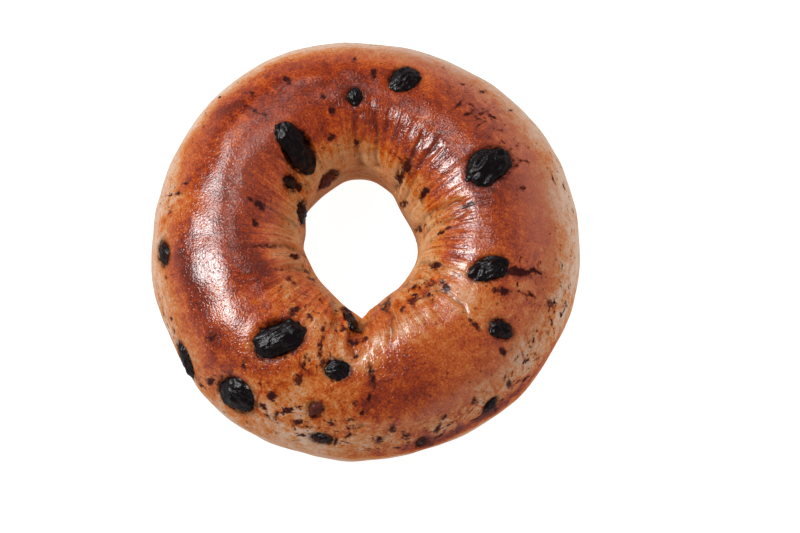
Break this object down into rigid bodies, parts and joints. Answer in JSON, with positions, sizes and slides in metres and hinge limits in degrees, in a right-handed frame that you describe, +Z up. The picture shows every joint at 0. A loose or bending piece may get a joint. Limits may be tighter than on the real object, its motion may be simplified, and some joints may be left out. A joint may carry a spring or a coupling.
{
  "type": "cinnamon raisin bagel",
  "caption": "Baked ring of cinnamon dough with a glossy brown crust and dark raisins set in it, flat underneath, with a pinched round hole.",
  "frame": {"origin": "middle of the bagel's outline, on the surface it rests on", "axes": "+Z up out of the crust, +X to the right and +Y away as the picture shows it; the pinch in the hole points to -Y"},
  "size_m": [0.1047, 0.105, 0.0369],
  "materials": {
    "crust": "satin",
    "raisin": "gloss"
  },
  "bodies": {
    "root": {"dough": "crust", "raisin_01": "raisin", "raisin_02": "raisin", "raisin_03": "raisin", "raisin_04": "raisin", "raisin_05": "raisin", "raisin_06": "raisin", "raisin_07": "raisin", "raisin_08": "raisin", "raisin_09": "raisin", "raisin_10": "raisin", "raisin_11": "raisin", "raisin_12": "raisin", "raisin_13": "raisin", "raisin_14": "raisin", "raisin_15": "raisin", "raisin_16": "raisin", "raisin_17": "raisin", "raisin_18": "raisin", "raisin_19": "raisin", "raisin_20": "raisin", "raisin_21": "raisin", "raisin_22": "raisin", "raisin_23": "raisin", "raisin_24": "raisin", "raisin_25": "raisin", "raisin_26": "raisin"}
  },
  "joints": []
}
